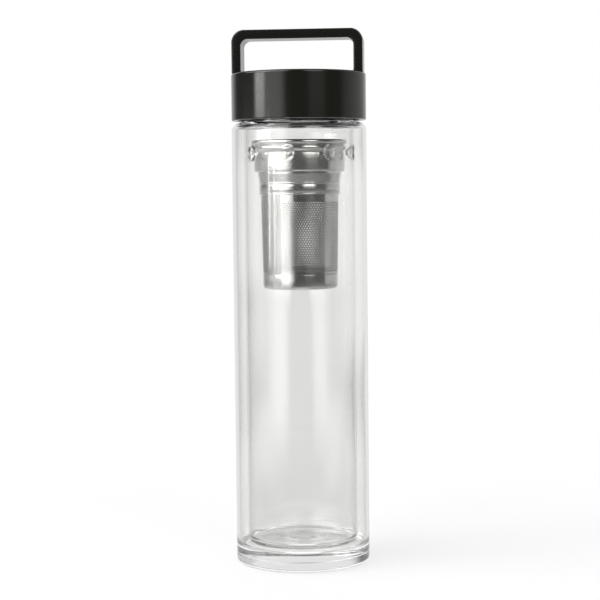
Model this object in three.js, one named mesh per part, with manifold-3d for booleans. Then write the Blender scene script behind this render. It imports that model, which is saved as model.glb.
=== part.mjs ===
// A double-walled glass tea flask with a hanging steel infuser and a screw lid that carries a strap handle.
// Millimetres, +Z up. The origin is the middle of the base, on the surface that the flask stands on.

import * as THREE from 'three';
import { mergeVertices } from 'three/addons/utils/BufferGeometryUtils.js';
import Module from 'manifold-3d';

const wasm = await Module();
wasm.setup();

// Clearances
const FUSED_GAP = 0.3; // between glass pieces that are fused together
const WELD_GAP = 0.3; // between steel pieces that are welded together
const FIT_GAP = 0.3; // between pieces that are pressed or clamped together

// Glass body
const BODY_DIAMETER = 66;
const SHOULDER_HEIGHT = 217;
const SHOULDER_RADIUS = 4.2;
const BASE_THICKNESS = 5;
const BASE_FILLET = 2.5;
const SEAM_CHAMFER = 0.4;
const JACKET_WALL = 2.2;
const JACKET_FLOOR = 3.5;
const AIR_GAP_UNDER_VESSEL = 1.2;
const VESSEL_WALL = 1.3;
const VESSEL_FLOOR = 2;
const VESSEL_CORNER = 3;
const PUNT_RADIUS = 12;
const PUNT_SLOPE = 5; // width of its sloping edge
const PUNT_DEPTH = 0.8;
const NECK_HEIGHT = 14.8;
const MOUTH_ROUND = 0.5;

// Dimples that the infuser hangs on
const DIMPLE_COUNT = 8;
const DIMPLE_BELOW_SHOULDER = 15;
const DIMPLE_DEPTH = 3.05;
const DIMPLE_RADIUS = 3;
const DIMPLE_MOUTH = 2.2; // radius of the hollow outside
const DIMPLE_TURN = -97.2; // degrees, of the first dimple

// Screw thread between neck and lid
const THREAD_LEAD = 5;
const THREAD_DEPTH = 1.2;
const THREAD_CLEARANCE = 0.6; // between a crest and the root that it faces
const THREAD_FLANK_GAP = 0.4;
const THREAD_FOOT = 2.4;
const THREAD_CREST = 1;
const THREAD_BELOW_MOUTH = 2.2;
const THREAD_ABOVE_SHOULDER = 3.2;
const THREAD_ABOVE_LINER_EDGE = 0.2;
const THREAD_TURN = -60; // degrees, of the start of the neck's ridge

// Steel infuser
const STEEL = 0.5;
const LIP_RADIUS = 1.1;
const LIP_ABOVE_BEAD = 2.85;
const LIP_ARC = [-110, 200]; // degrees, of the part of its tube that is rolled
const RIM_CLEARANCE = 2.15;
const COLLAR_CLEARANCE = 0.45;
const COLLAR_HEIGHT = 9;
const COLLAR_CORNER = 1;
const COLLAR_BEAD_RADIUS = 1.6;
const COLLAR_BEAD_ARC = [-65, 62]; // degrees, from its lower end to its upper end
const COLLAR_BEAD_PROUD = 0.75;
const COLLAR_BEAD_HEIGHT = 2.5; // of the bead's middle, above the top of the collar's wall
const RING_STEP = 1.85;
const RING_FLANGE = 0.95;
const RING_TAPER = 0.85;
const RING_TAPER_HEIGHT = 4.5;
const RING_STRAIGHT = 1;
const BEAD_HEIGHT = 5;
const BEAD_PROUD = 0.3;
const SLEEVE_SHEET = 0.4;
const SLEEVE_LENGTH = 38.4; // from the ring's edge to the cup's edge
const SLEEVE_TAPER = 0.7;
const CUP_HEIGHT = 7.5;
const CUP_CORNER = 2;
const CUP_LAP = 2.5;

// Lid
const LID_ABOVE_SHOULDER = 1;
const LID_PLATE = 4;
const LID_EDGE_RADIUS = 1.2;
const LID_RIM_CHAMFER = 0.5;
const SHELL_WALL = 2.3;
const SNAP_BEAD = 0.5;
const SNAP_BEAD_HEIGHT = 1;
const LINER_WALL = 1.5;
const LINER_PLATE = 2.2;
const LINER_LEAD_IN = 0.5;
const GASKET_THICKNESS = 2.1;
const GASKET_OVERHANG = 0.7;
const GASKET_EDGE = 0.4;

// Handle and its screws
const HANDLE_INSET = 1; // from the lid's side to the handle's outer face
const HANDLE_DEPTH = 16;
const HANDLE_THICKNESS = 4.5;
const HANDLE_RISE = 21;
const HANDLE_OUTER_RADIUS = 6;
const HANDLE_INNER_RADIUS = 3.4;
const HANDLE_EDGE = 0.5;
const HANDLE_FOOT_FLARE = 1.5;
const FOOT_FLARE_SWEEP = 75; // degrees of the foot's fillet, which ends in a thin toe
const TENON_WIDTH = 3.5;
const TENON_DEPTH = 10;
const SCREW_DIAMETER = 2;
const SCREW_LENGTH = 9;
const SCREW_GAP = 0.15;
const SCREW_HEAD_DIAMETER = 4.2;
const SCREW_HEAD_HEIGHT = 1.7;

// How finely round shapes are divided
const BODY_SEGMENTS = 40;
const SMALL_SEGMENTS = 16;
const DIMPLE_SEGMENTS = 12;
const ARC_STEPS = 4;
const SMALL_ARC_STEPS = 2;
const STRAP_ARC_STEPS = 6;
const THREAD_STEPS_PER_TURN = 24;
const THREAD_FADE = 0.08; // turns over which a thread ridge rises from nothing
const THREAD_FADE_LEAST = 0.02; // share of its depth that a ridge starts and ends with
const CUT_OVERSHOOT = 1; // how far a cut runs past the face that it opens

// Radii and heights that follow from the sizes above
const bodyRadius = BODY_DIAMETER / 2;
const jacketBore = bodyRadius - JACKET_WALL;
const shellBore = bodyRadius - SHELL_WALL;
const linerRadius = shellBore - FIT_GAP;
const linerBore = linerRadius - LINER_WALL;
const vesselRadius = linerBore - THREAD_CLEARANCE - THREAD_DEPTH;
const bore = vesselRadius - VESSEL_WALL;

const jacketBottom = BASE_THICKNESS + FUSED_GAP;
const jacketFloorTop = jacketBottom + JACKET_FLOOR;
const vesselBottom = jacketFloorTop + AIR_GAP_UNDER_VESSEL;
const dimpleHeight = SHOULDER_HEIGHT - DIMPLE_BELOW_SHOULDER;
const mouth = SHOULDER_HEIGHT + NECK_HEIGHT;
const gasketBottom = mouth + FIT_GAP;
const gasketTop = gasketBottom + GASKET_THICKNESS;
const linerCeiling = gasketTop + FIT_GAP;
const linerTop = linerCeiling + LINER_PLATE;
const plateBottom = linerTop + FIT_GAP;
const lidTop = plateBottom + LID_PLATE;
const lidBottom = SHOULDER_HEIGHT + LID_ABOVE_SHOULDER;
const linerBottom = lidBottom + LID_RIM_CHAMFER + SNAP_BEAD_HEIGHT + FIT_GAP;

// Turn an angle in degrees into radians
function radians(degrees) {
  return THREE.MathUtils.degToRad(degrees);
}

// Points of an arc in the plane of a profile, as [radius, height] pairs
function arc(centreRadius, centreHeight, radius, fromDegrees, toDegrees, steps = ARC_STEPS) {
  const points = [];
  for (let i = 0; i <= steps; i += 1) {
    const angle = radians(fromDegrees + ((toDegrees - fromDegrees) * i) / steps);
    points.push([centreRadius + radius * Math.cos(angle), centreHeight + radius * Math.sin(angle)]);
  }
  return points;
}

// Merge shared vertices and drop the triangles that have no area
function closed(geometry) {
  const bare = geometry.clone();
  bare.deleteAttribute('normal');
  bare.deleteAttribute('uv');
  const merged = mergeVertices(bare, 1e-5);
  const source = merged.index.array;
  const kept = [];
  for (let i = 0; i < source.length; i += 3) {
    const [a, b, c] = [source[i], source[i + 1], source[i + 2]];
    if (a !== b && b !== c && c !== a) {
      kept.push(a, b, c);
    }
  }
  merged.setIndex(kept);
  return merged;
}

// A closed geometry as a solid that can be joined and cut
function solid(geometry) {
  const shape = closed(geometry);
  return new wasm.Manifold(new wasm.Mesh({
    numProp: 3,
    vertProperties: new Float32Array(shape.getAttribute('position').array),
    triVerts: new Uint32Array(shape.index.array),
  }));
}

// A solid back as a geometry
function geometryOf(manifold) {
  const mesh = manifold.getMesh();
  const geometry = new THREE.BufferGeometry();
  geometry.setAttribute('position', new THREE.BufferAttribute(new Float32Array(mesh.vertProperties), 3));
  geometry.setIndex(new THREE.BufferAttribute(new Uint32Array(mesh.triVerts), 1));
  return geometry;
}

// A body of revolution about Z. The profile runs anticlockwise seen with radius to the right and height up.
function turned(profile, segments = BODY_SEGMENTS) {
  const points = profile.map(([radius, height]) => new THREE.Vector2(radius, height));
  return new THREE.LatheGeometry(points, segments).rotateX(Math.PI / 2);
}

// A profile that does not touch the axis ends where it starts
function looped(profile) {
  return [...profile, profile[0]];
}

// A plain upright cylinder between two heights
function pillar(radius, bottom, top, x = 0, segments = SMALL_SEGMENTS) {
  const geometry = new THREE.CylinderGeometry(radius, radius, top - bottom, segments);
  return geometry.rotateX(Math.PI / 2).translate(x, 0, (bottom + top) / 2);
}

// A plain block between two heights
function block(width, depth, bottom, top, x = 0) {
  return new THREE.BoxGeometry(width, depth, top - bottom).translate(x, 0, (bottom + top) / 2);
}

// A ball about a point
function ball(radius, x, y, z) {
  return new THREE.SphereGeometry(radius, DIMPLE_SEGMENTS, DIMPLE_SEGMENTS / 2).translate(x, y, z);
}

// A helical ridge, as a swept trapezium that fades in and out. It rises anticlockwise seen from above.
function threadRidge({ root, crest, rootOverlap, start, turnDegrees, turns }) {
  const steps = Math.round(turns * THREAD_STEPS_PER_TURN);
  const buried = root - Math.sign(crest - root) * rootOverlap;
  const positions = [];
  for (let i = 0; i <= steps; i += 1) {
    const along = (turns * i) / steps;
    const fade = Math.min(1, along / THREAD_FADE, (turns - along) / THREAD_FADE);
    const angle = radians(turnDegrees) + along * 2 * Math.PI;
    const height = start + along * THREAD_LEAD;
    const tip = buried + (crest - buried) * Math.max(fade, THREAD_FADE_LEAST);
    const section = [
      [buried, -THREAD_FOOT / 2],
      [tip, -THREAD_CREST / 2],
      [tip, THREAD_CREST / 2],
      [buried, THREAD_FOOT / 2],
    ];
    for (const [radius, rise] of section) {
      positions.push(radius * Math.cos(angle), radius * Math.sin(angle), height + rise);
    }
  }
  const index = [];
  for (let i = 0; i < steps; i += 1) {
    for (let side = 0; side < 4; side += 1) {
      const a = i * 4 + side;
      const b = i * 4 + ((side + 1) % 4);
      index.push(a, a + 4, b, b, a + 4, b + 4);
    }
  }
  const last = steps * 4;
  index.push(0, 1, 2, 0, 2, 3);
  index.push(last, last + 2, last + 1, last, last + 3, last + 2);
  if (crest < root) {
    for (let i = 0; i < index.length; i += 3) {
      [index[i + 1], index[i + 2]] = [index[i + 2], index[i + 1]];
    }
  }
  const geometry = new THREE.BufferGeometry();
  geometry.setAttribute('position', new THREE.Float32BufferAttribute(positions, 3));
  geometry.setIndex(index);
  return geometry;
}

// Clear glass, black plastic and steel looks
function glass() {
  return new THREE.MeshStandardMaterial({
    color: 0xe4e8e6, roughness: 0.04, metalness: 0, transparent: true, opacity: 0.3,
  });
}

function blackPlastic(roughness) {
  return new THREE.MeshStandardMaterial({ color: 0x171713, roughness, metalness: 0 });
}

function polishedSteel(roughness) {
  return new THREE.MeshStandardMaterial({ color: 0xc4c4c0, roughness, metalness: 1 });
}

function silicone() {
  return new THREE.MeshStandardMaterial({ color: 0xd8d8d2, roughness: 0.55, metalness: 0 });
}

const flask = new THREE.Group();
flask.name = 'tea_infuser_flask';

// Put one named piece into a group
function place(group, name, geometry, material) {
  const mesh = new THREE.Mesh(closed(geometry), material);
  mesh.name = name;
  group.add(mesh);
  return mesh;
}

// Foot disc with a rounded lower edge and a small chamfer at the seam
function baseDisc() {
  return turned([
    [0, 0],
    ...arc(bodyRadius - BASE_FILLET, BASE_FILLET, BASE_FILLET, -90, 0),
    [bodyRadius, BASE_THICKNESS - SEAM_CHAMFER],
    [bodyRadius - SEAM_CHAMFER, BASE_THICKNESS],
    [0, BASE_THICKNESS],
  ]);
}

// Outer tube with floor and shoulder, open where the neck passes through
function outerJacket() {
  const hole = vesselRadius + FUSED_GAP;
  const shoulderCentre = SHOULDER_HEIGHT - SHOULDER_RADIUS;
  const shoulderMiddle = bodyRadius - SHOULDER_RADIUS;
  return turned([
    [0, jacketBottom],
    [bodyRadius - SEAM_CHAMFER, jacketBottom],
    [bodyRadius, jacketBottom + SEAM_CHAMFER],
    ...arc(shoulderMiddle, shoulderCentre, SHOULDER_RADIUS, 0, 90),
    [hole, SHOULDER_HEIGHT],
    [hole, SHOULDER_HEIGHT - JACKET_WALL],
    ...arc(shoulderMiddle, shoulderCentre, SHOULDER_RADIUS - JACKET_WALL, 90, 0),
    [jacketBore, jacketFloorTop],
    [0, jacketFloorTop],
  ]);
}

// The straight tube of the vessel, before its thread and dimples
function plainVessel() {
  const floorTop = vesselBottom + VESSEL_FLOOR;
  const innerCorner = VESSEL_CORNER - VESSEL_WALL;
  return turned([
    [0, vesselBottom + PUNT_DEPTH],
    [PUNT_RADIUS - PUNT_SLOPE, vesselBottom + PUNT_DEPTH],
    [PUNT_RADIUS, vesselBottom],
    ...arc(vesselRadius - VESSEL_CORNER, vesselBottom + VESSEL_CORNER, VESSEL_CORNER, -90, 0),
    ...arc(vesselRadius - MOUTH_ROUND, mouth - MOUTH_ROUND, MOUTH_ROUND, 0, 90, SMALL_ARC_STEPS),
    ...arc(bore + MOUTH_ROUND, mouth - MOUTH_ROUND, MOUTH_ROUND, 90, 180, SMALL_ARC_STEPS),
    ...arc(bore - innerCorner, floorTop + innerCorner, innerCorner, 0, -90, SMALL_ARC_STEPS),
    [PUNT_RADIUS, floorTop],
    [PUNT_RADIUS - PUNT_SLOPE, floorTop + PUNT_DEPTH],
    [0, floorTop + PUNT_DEPTH],
  ]);
}

// Where the middle of the neck's ridge starts and ends
const threadHalf = THREAD_FOOT / 2;
const neckThreadStart = SHOULDER_HEIGHT + THREAD_ABOVE_SHOULDER + threadHalf;
const neckThreadEnd = mouth - THREAD_BELOW_MOUTH - threadHalf;
const neckThreadTurns = (neckThreadEnd - neckThreadStart) / THREAD_LEAD;

// The lid's ridge lies on the same helix, moved down, from the liner's edge to the end of the neck's ridge
const lidThreadDrop = (THREAD_FOOT + THREAD_CREST) / 2 + THREAD_FLANK_GAP;
const lidThreadStart = linerBottom + THREAD_ABOVE_LINER_EDGE + threadHalf;
const lidThreadTurns = (neckThreadEnd - lidThreadDrop - lidThreadStart) / THREAD_LEAD;
const lidThreadLag = (lidThreadStart + lidThreadDrop - neckThreadStart) / THREAD_LEAD;

// Inner tube with its threaded neck and a ring of dimples pressed inwards
function innerVessel() {
  const dimpleCentre = bore - DIMPLE_DEPTH + DIMPLE_RADIUS;
  const outwards = 1 + VESSEL_WALL / dimpleCentre;
  const wallMiddle = bore + VESSEL_WALL / 2;
  const core = solid(pillar(
    wallMiddle, dimpleHeight - 2 * DIMPLE_RADIUS, dimpleHeight + 2 * DIMPLE_RADIUS, 0, BODY_SEGMENTS,
  ));
  let vessel = solid(plainVessel());
  const ridge = threadRidge({
    root: vesselRadius,
    crest: vesselRadius + THREAD_DEPTH,
    rootOverlap: VESSEL_WALL / 2,
    start: neckThreadStart,
    turnDegrees: THREAD_TURN,
    turns: neckThreadTurns,
  });
  vessel = vessel.add(solid(ridge));
  for (let i = 0; i < DIMPLE_COUNT; i += 1) {
    const angle = radians(DIMPLE_TURN + (360 * i) / DIMPLE_COUNT);
    const x = dimpleCentre * Math.cos(angle);
    const y = dimpleCentre * Math.sin(angle);
    const bump = solid(ball(DIMPLE_RADIUS, x, y, dimpleHeight)).intersect(core);
    const dent = solid(ball(DIMPLE_RADIUS - VESSEL_WALL, x, y, dimpleHeight));
    const hollow = solid(ball(DIMPLE_MOUTH, x * outwards, y * outwards, dimpleHeight));
    vessel = vessel.add(bump).subtract(dent).subtract(hollow);
  }
  return geometryOf(vessel);
}

const glassBody = new THREE.Group();
flask.add(glassBody);
place(glassBody, 'base_disc', baseDisc(), glass());
place(glassBody, 'outer_jacket', outerJacket(), glass());
place(glassBody, 'inner_vessel', innerVessel(), glass());

// Infuser radii
const rimRadius = bore - RIM_CLEARANCE;
const collarRadius = bore - DIMPLE_DEPTH - COLLAR_CLEARANCE;
const ringRadius = collarRadius - RING_STEP;
const waistRadius = ringRadius - RING_TAPER;
const beadRadius = waistRadius + BEAD_PROUD;
const skirtBore = beadRadius - STEEL;
const sleeveTopRadius = skirtBore - WELD_GAP;
const sleeveBottomRadius = sleeveTopRadius - SLEEVE_TAPER;

// The collar's bead and the lip's tube above it, in heights above the top of the collar's wall
const beadCentreRadius = collarRadius + COLLAR_BEAD_PROUD - COLLAR_BEAD_RADIUS;
const beadOutside = arc(beadCentreRadius, COLLAR_BEAD_HEIGHT, COLLAR_BEAD_RADIUS, ...COLLAR_BEAD_ARC);
const lipCentreRadius = rimRadius - LIP_RADIUS;
const lipHeight = COLLAR_BEAD_HEIGHT + LIP_ABOVE_BEAD;
const lipOutside = arc(lipCentreRadius, lipHeight, LIP_RADIUS, ...LIP_ARC, 2 * ARC_STEPS);

// The infuser hangs where the collar's bead just clears the dimples' balls
function collarWallTop() {
  const across = bore - DIMPLE_DEPTH + DIMPLE_RADIUS - beadCentreRadius;
  const apart = DIMPLE_RADIUS + COLLAR_BEAD_RADIUS + FIT_GAP;
  return dimpleHeight + Math.sqrt(apart ** 2 - across ** 2) - COLLAR_BEAD_HEIGHT;
}

const infuser = new THREE.Group();
infuser.position.z = collarWallTop();
flask.add(infuser);

// Heights below, measured from the top of the collar's wall
const collarBottom = -COLLAR_HEIGHT;
const stepTop = collarBottom + STEEL;
const ringFlangeBottom = stepTop + WELD_GAP;
const taperTop = collarBottom - RING_STRAIGHT;
const waistHeight = taperTop - RING_TAPER_HEIGHT;
const beadTop = waistHeight - STEEL;
const ringBottom = beadTop - BEAD_HEIGHT;
const sleeveBottom = ringBottom - SLEEVE_LENGTH;
const cupTop = sleeveBottom - WELD_GAP;
const cupBottom = cupTop - CUP_HEIGHT;

// Collar with rolled lip, bead, straight wall and an inward step that carries the ring
function infuserCollar() {
  const hole = ringRadius + WELD_GAP;
  const wall = collarRadius - STEEL;
  const insideCorner = COLLAR_CORNER - STEEL;
  const cornerCentre = collarRadius - COLLAR_CORNER;
  return turned(looped([
    [hole, collarBottom],
    ...arc(cornerCentre, collarBottom + COLLAR_CORNER, COLLAR_CORNER, -90, 0, SMALL_ARC_STEPS),
    [collarRadius, 0],
    ...beadOutside,
    ...lipOutside,
    [wall, 0],
    ...arc(cornerCentre, collarBottom + COLLAR_CORNER, insideCorner, 0, -90, SMALL_ARC_STEPS),
    [hole, stepTop],
  ]));
}

// Ring that hangs by its flange in the collar's step, with a waist and a beaded skirt over the sleeve
function infuserRing() {
  const flangeRadius = ringRadius + RING_FLANGE;
  return turned(looped([
    [skirtBore, ringBottom],
    [beadRadius - BEAD_PROUD / 2, ringBottom],
    [beadRadius, ringBottom + BEAD_HEIGHT / 4],
    [beadRadius, ringBottom + (3 * BEAD_HEIGHT) / 4],
    [waistRadius, beadTop],
    [waistRadius, waistHeight],
    [ringRadius, taperTop],
    [ringRadius, ringFlangeBottom],
    [flangeRadius, ringFlangeBottom],
    [flangeRadius, ringFlangeBottom + STEEL],
    [ringRadius - STEEL, ringFlangeBottom + STEEL],
    [ringRadius - STEEL, taperTop],
    [waistRadius - STEEL, waistHeight],
    [skirtBore, beadTop],
  ]));
}

// Tapering sleeve from inside the ring's skirt down to the cup
function infuserSleeve() {
  const top = beadTop - WELD_GAP;
  return turned(looped([
    [sleeveBottomRadius - SLEEVE_SHEET, sleeveBottom],
    [sleeveBottomRadius, sleeveBottom],
    [sleeveTopRadius, ringBottom],
    [sleeveTopRadius, top],
    [sleeveTopRadius - SLEEVE_SHEET, top],
    [sleeveTopRadius - SLEEVE_SHEET, ringBottom],
  ]));
}

// Bottom cup, flush with the sleeve, with a lap that reaches up inside it
function infuserCup() {
  const wall = sleeveBottomRadius - STEEL;
  const lap = sleeveBottomRadius - SLEEVE_SHEET - WELD_GAP;
  const cornerCentre = sleeveBottomRadius - CUP_CORNER;
  const cornerHeight = cupBottom + CUP_CORNER;
  const lapFoot = cupTop - STEEL;
  return turned([
    [0, cupBottom],
    ...arc(cornerCentre, cornerHeight, CUP_CORNER, -90, 0, SMALL_ARC_STEPS),
    [sleeveBottomRadius, cupTop],
    [lap, cupTop],
    [lap, cupTop + CUP_LAP],
    [lap - SLEEVE_SHEET, cupTop + CUP_LAP],
    [lap - SLEEVE_SHEET, lapFoot],
    [wall - SLEEVE_SHEET, lapFoot - SLEEVE_SHEET],
    ...arc(cornerCentre - SLEEVE_SHEET, cornerHeight, CUP_CORNER - STEEL, 0, -90, SMALL_ARC_STEPS),
    [0, cupBottom + STEEL],
  ]);
}

place(infuser, 'infuser_collar', infuserCollar(), polishedSteel(0.14));
place(infuser, 'infuser_ring', infuserRing(), polishedSteel(0.14));
place(infuser, 'infuser_sleeve', infuserSleeve(), polishedSteel(0.3));
place(infuser, 'infuser_cup', infuserCup(), polishedSteel(0.16));

// Where the handle's feet and screws stand
const handleHalf = bodyRadius - HANDLE_INSET;
const legInside = handleHalf - HANDLE_THICKNESS;
const footMiddle = (handleHalf + legInside) / 2;
const footBottom = lidTop + FIT_GAP;
const headTop = plateBottom + SCREW_HEAD_HEIGHT;
const headSeat = headTop + FIT_GAP;
const tenonBottom = headSeat;

// Cap with a thick top plate, slots for the handle's tenons and recesses for the screw heads
function lidShell() {
  const beadBore = shellBore - SNAP_BEAD;
  const beadBottom = lidBottom + LID_RIM_CHAMFER;
  const beadTop = beadBottom + SNAP_BEAD_HEIGHT;
  const edgeCentre = lidTop - LID_EDGE_RADIUS;
  let shell = solid(turned([
    [0, plateBottom],
    [shellBore, plateBottom],
    [shellBore, beadTop],
    [beadBore, beadTop - SNAP_BEAD],
    [beadBore, beadBottom],
    [shellBore, lidBottom],
    [bodyRadius - LID_RIM_CHAMFER, lidBottom],
    [bodyRadius, lidBottom + LID_RIM_CHAMFER],
    ...arc(bodyRadius - LID_EDGE_RADIUS, edgeCentre, LID_EDGE_RADIUS, 0, 90),
    [0, lidTop],
  ]));
  for (const side of [-1, 1]) {
    const x = side * footMiddle;
    const slot = block(
      TENON_WIDTH + 2 * FIT_GAP, TENON_DEPTH + 2 * FIT_GAP, headSeat, lidTop + CUT_OVERSHOOT, x,
    );
    const recess = pillar(
      SCREW_HEAD_DIAMETER / 2 + FIT_GAP, plateBottom - CUT_OVERSHOOT, headSeat + FIT_GAP, x,
    );
    shell = shell.subtract(solid(slot)).subtract(solid(recess));
  }
  return geometryOf(shell);
}

// Inner cap with the lid's thread
function lidLiner() {
  const liner = solid(turned([
    [0, linerCeiling],
    [linerBore, linerCeiling],
    [linerBore, linerBottom + 2 * LINER_LEAD_IN],
    [linerBore + LINER_LEAD_IN, linerBottom],
    [linerRadius, linerBottom],
    [linerRadius, linerTop],
    [0, linerTop],
  ]));
  const ridge = threadRidge({
    root: linerBore,
    crest: vesselRadius + THREAD_CLEARANCE,
    rootOverlap: LINER_WALL / 2,
    start: lidThreadStart,
    turnDegrees: THREAD_TURN + 360 * lidThreadLag,
    turns: lidThreadTurns,
  });
  return geometryOf(liner.add(solid(ridge)));
}

// Flat sealing ring inside the liner
function lidGasket() {
  const outside = linerBore - FIT_GAP;
  const inside = bore - GASKET_OVERHANG;
  return turned(looped([
    [inside + GASKET_EDGE, gasketBottom],
    [outside - GASKET_EDGE, gasketBottom],
    [outside, gasketBottom + GASKET_EDGE],
    [outside, gasketTop - GASKET_EDGE],
    [outside - GASKET_EDGE, gasketTop],
    [inside + GASKET_EDGE, gasketTop],
    [inside, gasketTop - GASKET_EDGE],
    [inside, gasketBottom + GASKET_EDGE],
  ]));
}

// A flat outline in the X, Z plane, pushed along Y and centred on it
function pushedAlongY(outline, depth, edge) {
  const shape = new THREE.Shape(outline.map(([x, z]) => new THREE.Vector2(x, z)));
  const geometry = new THREE.ExtrudeGeometry(shape, {
    depth: depth - 2 * edge,
    bevelEnabled: edge > 0,
    bevelThickness: edge,
    bevelSize: edge,
    bevelOffset: -edge,
    bevelSegments: 2,
  });
  return geometry.rotateX(Math.PI / 2).translate(0, depth / 2 - edge, 0);
}

// Strap seen from the front: an arch with rounded corners
function strapOutline() {
  const top = lidTop + HANDLE_RISE;
  const under = top - HANDLE_THICKNESS;
  const outerX = handleHalf - HANDLE_OUTER_RADIUS;
  const outerZ = top - HANDLE_OUTER_RADIUS;
  const innerX = legInside - HANDLE_INNER_RADIUS;
  const innerZ = under - HANDLE_INNER_RADIUS;
  return [
    [handleHalf, footBottom],
    ...arc(outerX, outerZ, HANDLE_OUTER_RADIUS, 0, 90, STRAP_ARC_STEPS),
    ...arc(-outerX, outerZ, HANDLE_OUTER_RADIUS, 90, 180, STRAP_ARC_STEPS),
    [-handleHalf, footBottom],
    [-legInside, footBottom],
    ...arc(-innerX, innerZ, HANDLE_INNER_RADIUS, 180, 90, STRAP_ARC_STEPS),
    ...arc(innerX, innerZ, HANDLE_INNER_RADIUS, 90, 0, STRAP_ARC_STEPS),
    [legInside, footBottom],
  ];
}

// Fillet between a leg's inner face and the lid, on the side given by its sign
function footFillet(side) {
  const toe = legInside - HANDLE_FOOT_FLARE;
  const outline = [
    [legInside + HANDLE_EDGE, footBottom],
    [legInside + HANDLE_EDGE, footBottom + HANDLE_FOOT_FLARE],
    ...arc(toe, footBottom + HANDLE_FOOT_FLARE, HANDLE_FOOT_FLARE, 0, -FOOT_FLARE_SWEEP),
    [toe, footBottom],
  ];
  return outline.map(([x, z]) => [side * x, z]);
}

// Strap handle with a tenon and a screw hole in each foot
function strapHandle() {
  let handle = solid(pushedAlongY(strapOutline(), HANDLE_DEPTH, HANDLE_EDGE));
  for (const side of [-1, 1]) {
    const x = side * footMiddle;
    const fillet = pushedAlongY(footFillet(side), HANDLE_DEPTH - 2 * HANDLE_EDGE, 0);
    const tenon = block(TENON_WIDTH, TENON_DEPTH, tenonBottom, footBottom + 2 * HANDLE_EDGE, x);
    const hole = pillar(
      SCREW_DIAMETER / 2 + SCREW_GAP, tenonBottom - CUT_OVERSHOOT, headTop + SCREW_LENGTH + FIT_GAP, x,
    );
    handle = handle.add(solid(fillet)).add(solid(tenon)).subtract(solid(hole));
  }
  return geometryOf(handle);
}

// Pan-headed screw, standing head down
function handleScrew() {
  const head = SCREW_HEAD_DIAMETER / 2;
  const shank = SCREW_DIAMETER / 2;
  const crown = SCREW_HEAD_HEIGHT / 3;
  return turned([
    [0, plateBottom],
    [head - crown, plateBottom],
    [head, plateBottom + crown],
    [head, headTop],
    [shank, headTop],
    [shank, headTop + SCREW_LENGTH - shank],
    [0, headTop + SCREW_LENGTH],
  ], SMALL_SEGMENTS);
}

const lid = new THREE.Group();
flask.add(lid);
place(lid, 'lid_shell', lidShell(), blackPlastic(0.22));
place(lid, 'lid_liner', lidLiner(), blackPlastic(0.4));
place(lid, 'lid_gasket', lidGasket(), silicone());
place(lid, 'handle', strapHandle(), blackPlastic(0.35));
place(lid, 'handle_screw_left', handleScrew(), polishedSteel(0.3)).position.x = -footMiddle;
place(lid, 'handle_screw_right', handleScrew(), polishedSteel(0.3)).position.x = footMiddle;

export default flask;
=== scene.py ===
"""Looks of a tea flask: clear double-walled glass, a steel infuser and a black screw lid with a handle.

Metres, +Z up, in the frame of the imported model. Every CAD node but the two screws gives way to a smooth mesh
that is made here, and all of them get a procedural material.
"""

import math

import bpy
import numpy as np
from mathutils import Matrix, Vector


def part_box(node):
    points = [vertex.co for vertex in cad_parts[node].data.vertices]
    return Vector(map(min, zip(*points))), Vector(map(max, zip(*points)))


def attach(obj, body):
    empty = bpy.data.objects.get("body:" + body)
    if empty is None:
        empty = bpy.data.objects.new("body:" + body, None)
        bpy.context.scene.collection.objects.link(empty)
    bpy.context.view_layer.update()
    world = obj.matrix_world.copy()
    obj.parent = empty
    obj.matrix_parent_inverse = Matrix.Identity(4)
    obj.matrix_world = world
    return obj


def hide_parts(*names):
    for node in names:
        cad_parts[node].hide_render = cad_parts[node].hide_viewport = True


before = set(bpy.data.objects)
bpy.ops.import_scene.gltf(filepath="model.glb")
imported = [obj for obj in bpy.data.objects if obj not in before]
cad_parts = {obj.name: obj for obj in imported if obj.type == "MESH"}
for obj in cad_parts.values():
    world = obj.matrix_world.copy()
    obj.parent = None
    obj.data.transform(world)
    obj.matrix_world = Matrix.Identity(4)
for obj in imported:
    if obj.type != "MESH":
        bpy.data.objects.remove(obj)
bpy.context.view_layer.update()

MM = 0.001

# Camera
CAMERA_DISTANCE = 821.3 * MM
CAMERA_HEIGHT = 183.95 * MM
CAMERA_AZIMUTH = 5.3  # degrees to the right of the flask's front
CAMERA_PITCH = -3.78  # degrees above the horizon
CAMERA_ROLL = -0.609  # degrees
CAMERA_AIM = 0.027  # degrees that it looks to the left of the flask's axis
CAMERA_LENS = 99.84  # millimetres, on a 36 mm sensor

# Glass
SEAM = 0.05 * MM  # left open between pieces that are fused
SEAM_ROUND = 0.5 * MM
SEAM_GROOVE = 0.12 * MM  # depth of the groove where the foot disc is fused on
SEAM_GROOVE_HALF = 0.5 * MM
BASE_FILLET = 2.5 * MM
JACKET_WALL = 2.2 * MM
JACKET_FLOOR = 3.5 * MM
JACKET_CORNER = 3 * MM
SHOULDER_RADIUS = 4.2 * MM
VESSEL_WALL = 1.3 * MM
VESSEL_FLOOR = 2 * MM
VESSEL_CORNER = 3 * MM
PUNT_RADIUS = 12 * MM
PUNT_SLOPE = 5 * MM
PUNT_DEPTH = 0.8 * MM
MOUTH_ROUND = 0.5 * MM
WELD_RIPPLE = 0.3 * MM
WELD_WAVES = (  # waves round the neck, share of the ripple, phase
    (3, 1.0, 0.6), (7, 0.7, 2.1), (13, 0.5, 0.0), (22, 0.35, 1.3), (31, 0.25, 0.4),
)
DIMPLE_COUNT = 8
DIMPLE_TURN = -97.2  # degrees, to the first one
DIMPLE_BELOW_SHOULDER = 15 * MM
DIMPLE_DEPTH = 3.05 * MM  # as it stands out of the wall's inside
DIMPLE_RADIUS = 3.1 * MM
DENT_DEPTH = 3.3 * MM  # as it is pressed into the wall's outside
DENT_RADIUS = 2.6 * MM
DIMPLE_TALLER = 1.25  # height over width
DIMPLE_POWER = 1.5  # eases its edge into the wall

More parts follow.
